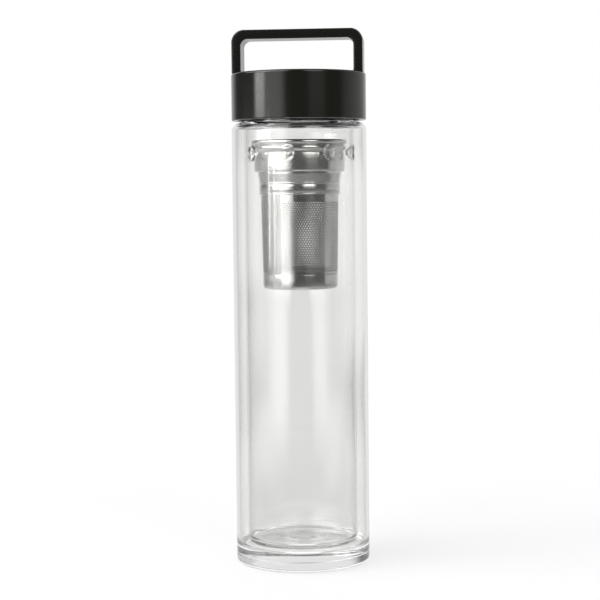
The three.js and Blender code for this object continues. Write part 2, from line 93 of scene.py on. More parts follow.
# Screw thread
THREAD_LEAD = 5 * MM
THREAD_DEPTH = 1.2 * MM
THREAD_CLEARANCE = 0.6 * MM
THREAD_FLANK_GAP = 0.4 * MM
THREAD_FOOT = 2.4 * MM
THREAD_CREST = 1 * MM
THREAD_BELOW_MOUTH = 2.2 * MM
THREAD_ABOVE_SHOULDER = 3.2 * MM
THREAD_ABOVE_LINER_EDGE = 0.2 * MM
THREAD_TURN = -60  # degrees, to the lower end of the thread on the neck
THREAD_FADE = 0.12  # turns over which a ridge rises from nothing
THREAD_LAPS = range(-2, 4)  # turns of the helix that can reach the neck or the liner

# Steel infuser
STEEL = 0.5 * MM
LIP_RADIUS = 1.1 * MM
LIP_ARC = (-110, 200)  # degrees, of the part of its tube that is rolled
COLLAR_CLEARANCE = 0.45 * MM
COLLAR_HEIGHT = 9 * MM
COLLAR_CORNER = 1 * MM
COLLAR_BEAD_RADIUS = 1.6 * MM
COLLAR_BEAD_ARC = (-65, 62)  # degrees, from its lower end to its upper end
COLLAR_BEAD_PROUD = 0.75 * MM
COLLAR_BEAD_HEIGHT = 2.5 * MM  # of the bead's middle, above the top of the collar's wall
COLLAR_CROWN = 0.35 * MM  # by which the top of the wall curves in
COLLAR_CROWN_HEIGHT = 3.6 * MM
RING_STEP = 1.85 * MM
RING_TAPER = 0.85 * MM
RING_TAPER_HEIGHT = 4.5 * MM
BEAD_HEIGHT = 5 * MM
BEAD_PROUD = 0.3 * MM
ROLLED_EDGE = 0.35 * MM
SKIRT_EDGE_ARC = (-90, 60)  # degrees, of the rolled edge under the skirt
WAIST_EDGE_ARC = (-70, 70)  # degrees, of the rolled edge at the waist
WELD_GAP = 0.3 * MM
BEND = 0.4 * MM
TIGHT_BEND = BEND / 4
SLEEVE_SHEET = 0.4 * MM
SLEEVE_TAPER = 0.7 * MM
CUP_CORNER = 2 * MM
CUP_EDGE = 0.45 * MM
CUP_LAP = 2.5 * MM

# Perforation
HOLE_COLUMNS = 92
HOLE_ROWS = 31
HOLE_SIDES = 6
HOLE_RADIUS = 0.46 * MM
HOLE_TURN = 210  # degrees, to a hole's first corner
HOLES_ABOVE_CUP = 0.7 * MM
PLAIN_BAND = 3.6 * MM

# Lid
SHELL_WALL = 2.3 * MM
LID_PLATE = 4 * MM
LID_EDGE_RADIUS = 1.2 * MM
LID_RIM_ROUND = 0.5 * MM
SNAP_BEAD = 0.5 * MM
SNAP_BEAD_HEIGHT = 1 * MM
LINER_WALL = 1.5 * MM
LINER_PLATE = 2.2 * MM
LINER_LEAD_IN = 0.5 * MM
GASKET_EDGE = 0.5 * MM
GASKET_OVERHANG = 0.7 * MM

# Handle
HANDLE_THICKNESS = 4.5 * MM
HANDLE_OUTER_RADIUS = 6 * MM
HANDLE_INNER_RADIUS = 3.4 * MM
HANDLE_EDGE = 0.6 * MM
HANDLE_FOOT_FLARE = 1.5 * MM
HANDLE_FLARE_ARC = (-75, 0)  # degrees
FOOT_CONTACT = 0.02 * MM  # left open between the handle's feet and the lid
QUARTER = (0, 90)  # degrees

# Materials. Tones and tints run from darkest to lightest, and roughness from least to most.
GLASS_IOR = 1.47
GLASS_CLOUD = 0.4  # share of the tints' range that the glass varies by
JACKET_TINTS = ((0.926, 0.928, 0.921), (1.0, 1.0, 0.996))
JACKET_LIGHTER_HEIGHTS = (  # heights between which its tint gets lighter, and by how much
    (20 * MM, 75 * MM, 0.3), (17 * MM, 10 * MM, 0.8),
)
VESSEL_TINTS = ((0.978, 0.980, 0.974), (0.999, 1.0, 0.995))
VESSEL_LIGHTER_HEIGHTS = ((20 * MM, 75 * MM, 0.6),)
STEEL_TONES = ((0.72, 0.72, 0.70), (0.75, 0.75, 0.73))
STEEL_ROUGHNESS = (0.19, 0.22)
SHEET_TONES = ((0.6, 0.6, 0.585), (0.78, 0.78, 0.765))
SHEET_ROUGHNESS = (0.15, 0.21)
ETCH_AND_PAINTED_LIGHT_SHARE = 0.5  # of the sheet's tone, and the rest is grain; between the holes it gives a duller etched finish and a paler tone that is painted light, standing in for light coming through the holes
PERFORATED_BAND_EDGE = 0.3 * MM  # half the width over which the etched finish and the painted light end
UPRIGHT = 0.25  # of a turn, so that spun steel spreads its highlights along the axis
PLASTIC_IOR = 1.5
PLASTIC_RELIEF = 0.05 * MM
PLASTIC_FINISHES = {
    # tones, their noise scale, the grain's noise scale, roughness, strength of the grain's relief
    "lid_black": (((0.0065, 0.0065, 0.0045), (0.0085, 0.0085, 0.006)), 90, 900, (0.13, 0.18), 0.05),
    "handle_black": (((0.007, 0.0075, 0.0055), (0.009, 0.0095, 0.007)), 80, 1400, (0.15, 0.165), 0.004),
    "liner_black": (((0.016, 0.016, 0.014), (0.024, 0.024, 0.021)), 80, 700, (0.36, 0.46), 0.08),
}
SILICONE_TONES = ((0.70, 0.70, 0.67), (0.80, 0.80, 0.77))
SILICONE_ROUGHNESS = (0.48, 0.6)
SILICONE_SCATTER = (2 * MM, 2 * MM, 1.6 * MM)
SCREW_TONES = ((0.48, 0.48, 0.48), (0.6, 0.6, 0.6))
SCREW_ROUGHNESS = (0.3, 0.42)
NOISE_SPAN = (0.3, 0.7)  # where most values of a noise lie
MARKS_SPAN = (0.25, 0.75)  # the same for turning marks
SHEET_SPAN = (0.1, 0.9)  # and for the sheet's grain, etching and painted light together

# How finely the meshes are divided
SEGMENTS = 256
VESSEL_SEGMENTS = 360
FILLET_STEPS = 8
BEAD_STEPS = 2 * FILLET_STEPS
LIP_STEPS = 3 * FILLET_STEPS
LONG_SIDE = 9 * MM  # a longer side gets a point beside each of its fillets
FILLET_GUARD = 0.1 * MM  # from the fillet to that point
EDGE_STEPS = 4
HANDLE_ARC_STEPS = 24
FINE_STEP = 0.3 * MM  # between heights where the wall is dimpled or threaded
DIMPLE_MARGIN = 3 * FINE_STEP
SMOOTH_ANGLE = 35  # degrees
ON_AXIS = 1e-7

# Studio that reflections and soft light see. Azimuths are in degrees from the flask's front, to its right.
WHITE = (1, 1, 1, 1)
STUDIO_LEVEL = 0.1
STUDIO_LIGHTS = (
    # azimuth, half width, its soft edge, lowest and highest elevation, their soft edge, brightness
    (-64, 9, 4, 2, 7, 2, 8.8),  # foot of the key softbox
    (-64, 9, 4, 17, 60, 2, 7.5),  # the rest of it, above a dark gap
    (-60, 42, 9, 17, 60, 3, 4.0),  # large diffuser round that
    (-37, 14, 9, -4, 1.5, 1.2, 2.6),  # the key's spill, low on its right
    (-37, 14, 9, -8.4, 60, 2, 1.6),  # fainter spill round it
    (-48.4, 0.9, 0.4, -2.6, 1.2, 0.3, 14.0),  # bare strip lamp
    (34, 15, 7, 17, 50, 5, 3.2),  # high softbox on the right
    (36, 13, 8, 2, 24, 2, 0.5),  # its spill
    (36, 13, 8, -20, 4, 8, 0.17),  # its fainter foot
    (-26, 11, 6, -3.8, -0.5, 0.6, 2.2),  # edge of the table in front, lit by the key
    (-68, 22, 10, -10, 2, 2, 0.35),  # table on the left, lit by the key
    (-72, 20, 10, -10, -7, 1, 0.7),  # its near part
    (-88, 15, 8, -3.4, 2, 1.2, 0.95),  # its edge
    (-120, 50, 10, -3.5, 1.6, 1.2, 0.47),  # its far edge
    (72, 28, 12, -11, -7, 1, 0.45),  # table on the right
    (126, 42, 5, -6, 1.6, 1.5, 0.8),  # its far edge
    (130, 30, 31, 1, 60, 2, 0.6),  # reflector on the right
    (185, 40, 14, -60, 70, 12, 0.8),  # backdrop
    (-135, 45, 12, -60, -3.5, 2.5, 0.35),  # sweep of the backdrop onto the table
    (185, 85, 20, -60, -8, 1.5, 0.65),  # table behind the flask
    (0, 180, 1, 72, 90, 8, 0.6),  # overhead sheet
    (-54, 31, 9, -24, -20.5, 1.2, 2.7),  # table in front, lit by the key
    (0, 180, 1, -90, -18, 4, 0.55),  # table top
    (0, 180, 1, -90, -72, 4, 1.5),  # the lightest part of it, right below
)
FLOOR_RADIUS = 0.45
FLOOR_DROP = 0.3 * MM
FLOOR_ALBEDO = 0.2
FLOOR_GLOW = 0.77
GLASS_BOUNCES = 64  # light crosses four walls and a foot that all send some of it back
STEEL_BOUNCES = 48

scene = bpy.context.scene


# Sizes that follow from the frame
base_low, base_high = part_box("base_disc")
jacket_low, jacket_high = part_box("outer_jacket")
vessel_low, vessel_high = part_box("inner_vessel")
body_radius = base_high.x
shoulder = jacket_high.z
mouth = vessel_high.z
jacket_bore = body_radius - JACKET_WALL
liner_low, liner_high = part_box("lid_liner")
liner_radius = liner_high.x
liner_bore = liner_radius - LINER_WALL
vessel_radius = liner_bore - THREAD_CLEARANCE - THREAD_DEPTH
bore = vessel_radius - VESSEL_WALL


def rounded(corners, steps=FILLET_STEPS):
    """Points of an outline from its corners, each (distance from the axis, height, fillet radius).

    A point beside each fillet on a long side keeps that side's shading flat.
    """
    outline = []
    for i, (x, z, fillet) in enumerate(corners):
        corner = Vector((x, z))
        if fillet <= 0:
            outline.append((x, z))
            continue
        to_last = Vector(corners[i - 1][:2]) - corner
        to_next = Vector(corners[(i + 1) % len(corners)][:2]) - corner
        back, ahead = to_last.normalized(), to_next.normalized()
        half = back.angle(ahead) / 2
        reach = fillet / math.tan(half)
        centre = corner + (back + ahead).normalized() * (fillet / math.sin(half))
        start = corner + back * reach - centre
        end = corner + ahead * reach - centre
        first = math.atan2(start.y, start.x)
        sweep = math.remainder(math.atan2(end.y, end.x) - first, 2 * math.pi)
        if to_last.length > LONG_SIDE:
            outline.append(tuple(corner + back * (reach + FILLET_GUARD)))
        for k in range(steps + 1):
            angle = first + sweep * k / steps
            outline.append((centre.x + fillet * math.cos(angle), centre.y + fillet * math.sin(angle)))
        if to_next.length > LONG_SIDE:
            outline.append(tuple(corner + ahead * (reach + FILLET_GUARD)))
    return outline


def arc(x, z, radius, start, end, steps=FILLET_STEPS):
    """Points of an arc, between two angles in degrees."""
    angles = [math.radians(start + (end - start) * k / steps) for k in range(steps + 1)]
    return [(x + radius * math.cos(a), z + radius * math.sin(a)) for a in angles]


def refined(outline, low, high):
    """The outline with more points where it runs between two heights."""
    finer = []
    heights = np.arange(low, high + FINE_STEP / 2, FINE_STEP)
    for (x, z), (next_x, next_z) in zip(outline, outline[1:]):
        finer.append((x, z))
        if abs(next_z - z) < FINE_STEP or max(z, next_z) < low or min(z, next_z) > high:
            continue
        inside = [h for h in heights if min(z, next_z) < h < max(z, next_z)]
        for h in inside if next_z > z else reversed(inside):
            share = (h - z) / (next_z - z)
            finer.append((x + (next_x - x) * share, h))
    return [*finer, outline[-1]]


def smoothstep(share):
    """A share from 0 to 1, eased at both ends."""
    return share * share * (3 - 2 * share)


def make_piece(name, vertices, faces):
    """A smooth-shaded mesh object, with edges sharper than SMOOTH_ANGLE kept crisp."""
    mesh = bpy.data.meshes.new(name)
    mesh.from_pydata(vertices, [], faces)
    mesh.validate()
    mesh.shade_smooth()
    mesh.set_sharp_from_angle(angle=math.radians(SMOOTH_ANGLE))
    piece = bpy.data.objects.new(name, mesh)
    scene.collection.objects.link(piece)
    return piece


def turned(name, outline, segments=SEGMENTS, bulge=None):
    """A piece of revolution about Z. The outline runs anticlockwise, from axis to axis or as a loop.

    bulge(angles, radii, heights) gives what is added to the radii and to the heights.
    """
    angles = np.arange(segments) * 2 * math.pi / segments
    vertices, rings, faces = [], [], []
    for x, z in outline:
        if x < ON_AXIS:
            rings.append([len(vertices)])
            vertices.append((0, 0, z))
            continue
        rings.append(range(len(vertices), len(vertices) + segments))
        radii, heights = np.full(segments, x), np.full(segments, z)
        if bulge:
            out, up = bulge(angles, radii, heights)
            radii, heights = radii + out, heights + up
        vertices.extend(zip(radii * np.cos(angles), radii * np.sin(angles), heights))
    pairs = list(zip(rings, rings[1:]))
    if outline[0][0] >= ON_AXIS:
        pairs.append((rings[-1], rings[0]))
    for lower, upper in pairs:
        for j in range(segments):
            k = (j + 1) % segments
            if len(lower) == 1:
                faces.append((lower[0], upper[k], upper[j]))
            elif len(upper) == 1:
                faces.append((lower[j], lower[k], upper[0]))
            else:
                faces.append((lower[j], lower[k], upper[k], upper[j]))
    return make_piece(name, vertices, faces)


def dress(piece, node, body, material):
    """Put a finished piece in the place of its CAD node."""
    piece.data.materials.append(material)
    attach(piece, body)
    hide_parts(node)
    return piece


# Node helpers
def add_node(tree, kind, inputs=None, **settings):
    """A shader node. An input that is a socket is linked, and any other is set."""
    made = tree.nodes.new(kind)
    for name, value in settings.items():
        setattr(made, name, value)
    for key, value in (inputs or {}).items():
        if isinstance(value, bpy.types.NodeSocket):
            tree.links.new(value, made.inputs[key])
        else:
            made.inputs[key].default_value = value
    return made


def math_node(tree, operation, *values):
    """The result of a math node."""
    return add_node(tree, "ShaderNodeMath", dict(enumerate(values)), operation=operation).outputs[0]


def vector_node(tree, operation, *values):
    """A vector math node."""
    return add_node(tree, "ShaderNodeVectorMath", dict(enumerate(values)), operation=operation)


def smooth_range(tree, value, start, end, low=0.0, high=1.0):
    """A value mapped smoothly from one range to another."""
    ends = {"Value": value, "From Min": start, "From Max": end, "To Min": low, "To Max": high}
    return add_node(tree, "ShaderNodeMapRange", ends, interpolation_type="SMOOTHSTEP").outputs["Result"]


def noise(tree, scale, stretch=(1, 1, 1), detail=3.0, roughness=0.5):
    """Noise in the object's own coordinates, scale being features per metre."""
    place = add_node(tree, "ShaderNodeTexCoord").outputs["Object"]
    stretched = vector_node(tree, "MULTIPLY", place, stretch).outputs["Vector"]
    inputs = {"Vector": stretched, "Scale": scale, "Detail": detail, "Roughness": roughness}
    return add_node(tree, "ShaderNodeTexNoise", inputs).outputs["Fac"]


def own_height(tree):
    """Height in the object's own coordinates."""
    place = add_node(tree, "ShaderNodeTexCoord").outputs["Object"]
    return add_node(tree, "ShaderNodeSeparateXYZ", {"Vector": place}).outputs["Z"]


def blend_of(tree, factor, low, high):
    """A colour between two, by a factor."""
    ramp = add_node(tree, "ShaderNodeValToRGB", {"Fac": factor})
    ramp.color_ramp.elements[0].color = (*low, 1)
    ramp.color_ramp.elements[1].color = (*high, 1)
    return ramp.outputs["Color"]


def bump(tree, height, strength, distance):
    """A normal from a height."""
    inputs = {"Height": height, "Strength": strength, "Distance": distance}
    return add_node(tree, "ShaderNodeBump", inputs).outputs["Normal"]


def around_axis(tree):
    """The direction round the Z axis."""
    return add_node(tree, "ShaderNodeTangent", direction_type="RADIAL", axis="Z").outputs["Tangent"]


def empty_tree(owner):
    """The node tree of a material or world, with nothing in it."""
    owner.use_nodes = True
    owner.node_tree.nodes.clear()
    return owner.node_tree


def new_material(name, build, *finish):
    """A material with one Principled shader, whose inputs build(tree, *finish) gives."""
    material = bpy.data.materials.new(name)
    tree = empty_tree(material)
    shader = add_node(tree, "ShaderNodeBsdfPrincipled", build(tree, *finish))
    add_node(tree, "ShaderNodeOutputMaterial", {"Surface": shader.outputs["BSDF"]})
    return material


# Materials
def clear_glass(tree, tints, lighter_heights):
    """Clear glass with the faint lengthwise draw of blown tube, its tint lighter at some heights than at
    others.
    """
    draw = noise(tree, scale=60, stretch=(1, 1, 0.08))
    tint_share = math_node(tree, "MULTIPLY", noise(tree, scale=30), GLASS_CLOUD)
    z = own_height(tree)
    for start, end, amount in lighter_heights:
        tint_share = math_node(tree, "ADD", tint_share, smooth_range(tree, z, start, end, high=amount))
    return {
        "Base Color": blend_of(tree, tint_share, *tints),
        "Roughness": 0.0,
        "IOR": GLASS_IOR,
        "Transmission Weight": 1.0,
        "Normal": bump(tree, draw, strength=0.12, distance=0.2 * MM),
    }


def polished_steel(tree):
    """Spun and polished stainless steel, with fine turning marks and a soft waviness."""
    marks = noise(tree, scale=60, stretch=(1, 1, 30), detail=4.0, roughness=0.6)
    waves = noise(tree, scale=120)
    return {
        "Base Color": blend_of(tree, marks, *STEEL_TONES),
        "Metallic": 1.0,
        "Roughness": smooth_range(tree, marks, *MARKS_SPAN, *STEEL_ROUGHNESS),
        "Anisotropic": 0.6,
        "Anisotropic Rotation": UPRIGHT,
        "Tangent": around_axis(tree),
        "Normal": bump(tree, waves, strength=0.08, distance=0.25 * MM),
    }


def perforated_steel(tree):
    """Thin sheet, etched to a duller finish between its holes than on its plain bands, with a paler tone
    painted there as painted light that stands in for light coming through the holes.
    """
    grain = noise(tree, scale=500, stretch=(1, 1, 0.15), detail=4.0, roughness=0.6)
    waves = noise(tree, scale=140)
    z = own_height(tree)
    above = smooth_range(tree, z, holes_low - PERFORATED_BAND_EDGE, holes_low + PERFORATED_BAND_EDGE)
    below = smooth_range(tree, z, holes_high + PERFORATED_BAND_EDGE, holes_high - PERFORATED_BAND_EDGE)
    between = math_node(tree, "MULTIPLY", above, below)
    # painted light: between the holes the tone is painted paler, besides the duller etched finish
    etch_and_painted_light = math_node(tree, "MULTIPLY", between, ETCH_AND_PAINTED_LIGHT_SHARE)
    shade = math_node(tree, "MULTIPLY_ADD", grain, 1 - ETCH_AND_PAINTED_LIGHT_SHARE, etch_and_painted_light)
    return {
        "Base Color": blend_of(tree, shade, *SHEET_TONES),
        "Metallic": 1.0,
        "Roughness": smooth_range(tree, shade, *SHEET_SPAN, *SHEET_ROUGHNESS),
        "Anisotropic": 0.3,
        "Anisotropic Rotation": UPRIGHT,
        "Tangent": around_axis(tree),
        "Normal": bump(tree, waves, strength=0.06, distance=0.2 * MM),
    }


def moulded_plastic(tree, tones, tone_scale, grain_scale, roughness, relief):
    """Black moulded plastic with a fine grain."""
    grain = noise(tree, grain_scale, detail=2.0)
    return {
        "Base Color": blend_of(tree, noise(tree, tone_scale), *tones),
        "Roughness": smooth_range(tree, grain, *NOISE_SPAN, *roughness),
        "IOR": PLASTIC_IOR,
        "Normal": bump(tree, grain, relief, PLASTIC_RELIEF),
    }


def silicone(tree):
    """Milky sealing rubber."""
    cloud = noise(tree, scale=160)
    return {
        "Base Color": blend_of(tree, cloud, *SILICONE_TONES),
        "Roughness": smooth_range(tree, cloud, *NOISE_SPAN, *SILICONE_ROUGHNESS),
        "Subsurface Weight": 0.3,
        "Subsurface Radius": SILICONE_SCATTER,
    }


def screw_steel(tree):
    """Plain zinc-grey screws."""
    grain = noise(tree, scale=900)
    return {
        "Base Color": blend_of(tree, grain, *SCREW_TONES),
        "Metallic": 1.0,
        "Roughness": smooth_range(tree, grain, *NOISE_SPAN, *SCREW_ROUGHNESS),
    }


# Glass body
def weld_ripple(angles, radii, heights):
    """Uneven top of the shoulder, where jacket and neck are fused by hand."""
    flat = body_radius - SHOULDER_RADIUS
    near = np.clip((flat - radii) / (flat - vessel_radius), 0, 1) * (heights > shoulder - JACKET_WALL / 2)
    wave = sum(share * np.sin(count * angles + phase) for count, share, phase in WELD_WAVES)
    return np.zeros_like(radii), near * WELD_RIPPLE * wave


def outer_jacket():
    """Foot disc and outer tube, fused into one piece of glass, with a shoulder that closes onto the neck."""
    seam = (base_high.z + jacket_low.z) / 2
    hole = vessel_radius + SEAM
    under = shoulder - JACKET_WALL
    shoulder_start = body_radius - SHOULDER_RADIUS
    outline = rounded([
        (0, base_low.z, 0),
        (body_radius, base_low.z, BASE_FILLET),
        (body_radius, seam - SEAM_GROOVE_HALF, SEAM_ROUND),
        (body_radius - SEAM_GROOVE, seam, SEAM_ROUND),
        (body_radius, seam + SEAM_GROOVE_HALF, SEAM_ROUND),
        (body_radius, shoulder, SHOULDER_RADIUS),
        ((shoulder_start + hole) / 2, shoulder, 0),
        (hole, shoulder, SEAM_ROUND),
        (hole, under, SEAM_ROUND),
        (jacket_bore, under, SHOULDER_RADIUS - JACKET_WALL),
        (jacket_bore, jacket_low.z + JACKET_FLOOR, JACKET_CORNER),
        (0, jacket_low.z + JACKET_FLOOR, 0),
    ])
    return turned("jacket_glass", outline, bulge=weld_ripple)


thread_start = shoulder + THREAD_ABOVE_SHOULDER + THREAD_FOOT / 2
thread_end = mouth - THREAD_BELOW_MOUTH - THREAD_FOOT / 2
thread_turns = (thread_end - thread_start) / THREAD_LEAD
dimple_height = shoulder - DIMPLE_BELOW_SHOULDER


def ridge(angles, heights, start, turn, turns):
    """How far a helical ridge stands up, from 0 to 1, at each place."""
    best = np.zeros_like(heights)
    turned_by = (angles - math.radians(turn)) / (2 * math.pi)
    for lap in THREAD_LAPS:
        along = turned_by + lap
        offset = np.abs(heights - start - along * THREAD_LEAD)
        flank = np.clip((THREAD_FOOT / 2 - offset) / ((THREAD_FOOT - THREAD_CREST) / 2), 0, 1)
        fade = np.clip(np.minimum(along, turns - along) / THREAD_FADE, 0, 1)
        best = np.maximum(best, smoothstep(flank) * smoothstep(fade))
    return best


def vessel_shape(angles, radii, heights):
    """Thread on the neck's outside, and dimples pressed into the wall from outside."""
    outside = radii > vessel_radius - VESSEL_WALL / 2
    thread = THREAD_DEPTH * outside * ridge(angles, heights, thread_start, THREAD_TURN, thread_turns)
    spacing = 2 * math.pi / DIMPLE_COUNT
    around = np.remainder(angles - math.radians(DIMPLE_TURN) + spacing / 2, spacing) - spacing / 2
    away = np.hypot(around * bore, (heights - dimple_height) / DIMPLE_TALLER)
    dimple = DIMPLE_DEPTH * np.clip(1 - (away / DIMPLE_RADIUS) ** 2, 0, 1) ** DIMPLE_POWER
    dent = DENT_DEPTH * np.clip(1 - (away / DENT_RADIUS) ** 2, 0, 1) ** DIMPLE_POWER
    return thread - np.where(outside, dent, dimple), np.zeros_like(radii)


def punt(base):
    """Gentle rise in the middle of the vessel's floor, from the axis out."""
    points = [(0, base + PUNT_DEPTH, 0)]
    for k in range(FILLET_STEPS + 1):
        share = k / FILLET_STEPS
        rise = PUNT_DEPTH * (1 - smoothstep(share))
        points.append((PUNT_RADIUS - PUNT_SLOPE * (1 - share), base + rise, 0))
    return points


def inner_vessel():
    """Inner tube with a closed bottom, a threaded neck and a ring of dimples."""
    bottom = vessel_low.z
    floor = bottom + VESSEL_FLOOR
    outline = rounded([
        *punt(bottom),
        (vessel_radius, bottom, VESSEL_CORNER),
        (vessel_radius, mouth, MOUTH_ROUND),
        (bore, mouth, MOUTH_ROUND),
        (bore, floor, VESSEL_CORNER - VESSEL_WALL / 2),
        *reversed(punt(floor)),
    ])
    reach = DIMPLE_RADIUS * DIMPLE_TALLER + DIMPLE_MARGIN
    outline = refined(outline, dimple_height - reach, dimple_height + reach)
    outline = refined(outline, thread_start - THREAD_FOOT, thread_end + THREAD_FOOT / 2)
    return turned("vessel_glass", outline, VESSEL_SEGMENTS, vessel_shape)


# Steel infuser
collar_low, collar_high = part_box("infuser_collar")
ring_low, ring_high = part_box("infuser_ring")
sleeve_low, sleeve_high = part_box("infuser_sleeve")
cup_low, cup_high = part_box("infuser_cup")
holes_low = sleeve_low.z + HOLES_ABOVE_CUP
holes_high = ring_low.z - PLAIN_BAND
collar_radius = bore - DIMPLE_DEPTH - COLLAR_CLEARANCE
ring_radius = collar_radius - RING_STEP
waist_radius = ring_radius - RING_TAPER
bead_radius = waist_radius + BEAD_PROUD
skirt_bore = bead_radius - STEEL
sleeve_bottom_radius = sleeve_high.x - SLEEVE_TAPER


def infuser_collar():
    """Stamped collar: rolled lip, bead, crowned wall and an inward step."""
    bottom = collar_low.z
    wall_top = bottom + COLLAR_HEIGHT
    bead_centre = collar_radius + COLLAR_BEAD_PROUD - COLLAR_BEAD_RADIUS
    bead_height = wall_top + COLLAR_BEAD_HEIGHT
    bead = arc(bead_centre, bead_height, COLLAR_BEAD_RADIUS, *COLLAR_BEAD_ARC, BEAD_STEPS)
    lip_radius = collar_high.x - LIP_RADIUS
    lip = arc(lip_radius, collar_high.z - LIP_RADIUS, LIP_RADIUS, *LIP_ARC, LIP_STEPS)
    curve = (COLLAR_CROWN_HEIGHT ** 2 + COLLAR_CROWN ** 2) / (2 * COLLAR_CROWN)
    lean = math.degrees(math.asin(COLLAR_CROWN_HEIGHT / curve))
    crown_foot = wall_top + STEEL - COLLAR_CROWN_HEIGHT
    crown = arc(collar_radius - curve, crown_foot, curve, 0, lean)
    hole = ring_radius + WELD_GAP
    wall = collar_radius - STEEL
    corner = COLLAR_CORNER - STEEL
    lower = [(hole, bottom, 0), (collar_radius, bottom, COLLAR_CORNER)]
    upper = [(wall, wall_top, BEND), (wall, bottom + STEEL, corner), (hole, bottom + STEEL, 0)]
    corners = [*lower, *[(x, z, 0) for x, z in crown + bead + lip], *upper]
    return turned("steel_collar", rounded(corners))


def infuser_ring():
    """Ring that hangs in the collar's step: straight band, taper to a rolled waist, and a beaded skirt."""
    bottom = ring_low.z
    bead_top = bottom + BEAD_HEIGHT
    waist = bead_top + STEEL
    taper_top = waist + RING_TAPER_HEIGHT
    flange_top = ring_high.z
    flange_low = flange_top - STEEL
    inside = ring_radius - STEEL
    low_edge = arc(bead_radius - ROLLED_EDGE / 2, bottom + ROLLED_EDGE, ROLLED_EDGE, *SKIRT_EDGE_ARC)
    bead_foot = bottom + 2 * ROLLED_EDGE
    swell = (bead_top - bead_foot) / 2
    curve = (swell ** 2 + BEAD_PROUD ** 2) / (2 * BEAD_PROUD)
    lean = math.degrees(math.asin(swell / curve))
    bead = arc(bead_radius - curve, bead_foot + swell, curve, -lean, lean, BEAD_STEPS)
    waist_edge = arc(waist_radius, waist + ROLLED_EDGE / 2, ROLLED_EDGE, *WAIST_EDGE_ARC)
    outside = [(x, z, 0) for x, z in low_edge + bead + waist_edge]
    return turned("steel_ring", rounded([
        (skirt_bore, bottom, 0),
        *outside,
        (ring_radius, taper_top, BEND),
        (ring_radius, flange_low, TIGHT_BEND),
        (ring_high.x, flange_low, 0),
        (ring_high.x, flange_top, 0),
        (inside, flange_top, BEND),
        (inside, taper_top, BEND),
        (waist_radius - STEEL, waist, 0),
        (skirt_bore, bead_top, 0),
    ]))


def sleeve_radius(z):
    """Outside of the sleeve: tapering below the ring, straight inside its skirt."""
    share = min(1, (z - sleeve_low.z) / (ring_low.z - sleeve_low.z))
    return sleeve_bottom_radius + SLEEVE_TAPER * share


def infuser_sleeve():
    """Perforated sheet: staggered rows of six-sided holes through its full thickness."""
    pitch = (holes_high - holes_low) / HOLE_ROWS
    points = 2 * HOLE_COLUMNS
    vertices, faces = [], []

    def place(angle, z, depth):
        radius = sleeve_radius(z) - depth
        vertices.append((radius * math.cos(angle), radius * math.sin(angle), z))
        return len(vertices) - 1

    def circle(z, depth):
        return [place(math.pi * j / HOLE_COLUMNS, z, depth) for j in range(points)]

    def join(circles):
        for lower, upper in zip(circles, circles[1:]):
            for j in range(points):
                k = (j + 1) % points
                faces.append((lower[j], lower[k], upper[k], upper[j]))

    heights = [holes_low + pitch * row for row in range(HOLE_ROWS + 1)]
    outer = [circle(z, 0) for z in heights]
    inner = [circle(z, SLEEVE_SHEET) for z in heights]
    for row in range(HOLE_ROWS):
        middle = heights[row] + pitch / 2
        for column in range(HOLE_COLUMNS):
            left = 2 * column + row % 2
            corners = [(row, left), (row, left + 1), (row, left + 2)]
            corners += [(row + 1, left + 2), (row + 1, left + 1), (row + 1, left)]
            turn = math.pi * (left + 1) / HOLE_COLUMNS
            rim = []
            for corner in range(HOLE_SIDES):
                way = math.radians(360 * corner / HOLE_SIDES + HOLE_TURN)
                angle = turn + HOLE_RADIUS * math.cos(way) / sleeve_radius(middle)
                z = middle + HOLE_RADIUS * math.sin(way)
                rim.append((place(angle, z, 0), place(angle, z, SLEEVE_SHEET)))
            for k in range(HOLE_SIDES):
                ahead = (k + 1) % HOLE_SIDES
                (row_a, a), (row_b, b) = corners[k], corners[ahead]
                (out_a, in_a), (out_b, in_b) = rim[k], rim[ahead]
                faces.append((outer[row_a][a % points], outer[row_b][b % points], out_b, out_a))
                faces.append((inner[row_b][b % points], inner[row_a][a % points], in_a, in_b))
                faces.append((out_a, out_b, in_b, in_a))
    band = (ring_low.z, sleeve_high.z)
    band_outside = [circle(z, 0) for z in band]
    band_inside = [circle(z, SLEEVE_SHEET) for z in reversed(band)]
    join([outer[-1], *band_outside, *band_inside, inner[-1]])
    join([inner[0], circle(sleeve_low.z, SLEEVE_SHEET), circle(sleeve_low.z, 0), outer[0]])
    return make_piece("steel_sleeve", vertices, faces)


def infuser_cup():
    """Bottom cup, flush with the sleeve, with a lap that reaches up inside it."""
    bottom, top = cup_low.z, cup_high.z - CUP_LAP
    wall = sleeve_bottom_radius - STEEL
    lap = sleeve_bottom_radius - SLEEVE_SHEET - WELD_GAP
    lap_foot = top - STEEL
    return turned("steel_cup", rounded([
        (0, bottom, 0),
        (sleeve_bottom_radius, bottom, CUP_CORNER),
        (sleeve_bottom_radius, top, CUP_EDGE),
        (lap, top, 0),
        (lap, cup_high.z, TIGHT_BEND),
        (lap - SLEEVE_SHEET, cup_high.z, TIGHT_BEND),
        (lap - SLEEVE_SHEET, lap_foot, 0),
        (wall - SLEEVE_SHEET, lap_foot - SLEEVE_SHEET, 0),
        (wall - SLEEVE_SHEET, bottom + STEEL, CUP_CORNER - STEEL),
        (0, bottom + STEEL, 0),
    ]))


# Lid
shell_low, shell_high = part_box("lid_shell")
gasket_low, gasket_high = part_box("lid_gasket")
_, handle_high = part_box("handle")
shell_bore = body_radius - SHELL_WALL


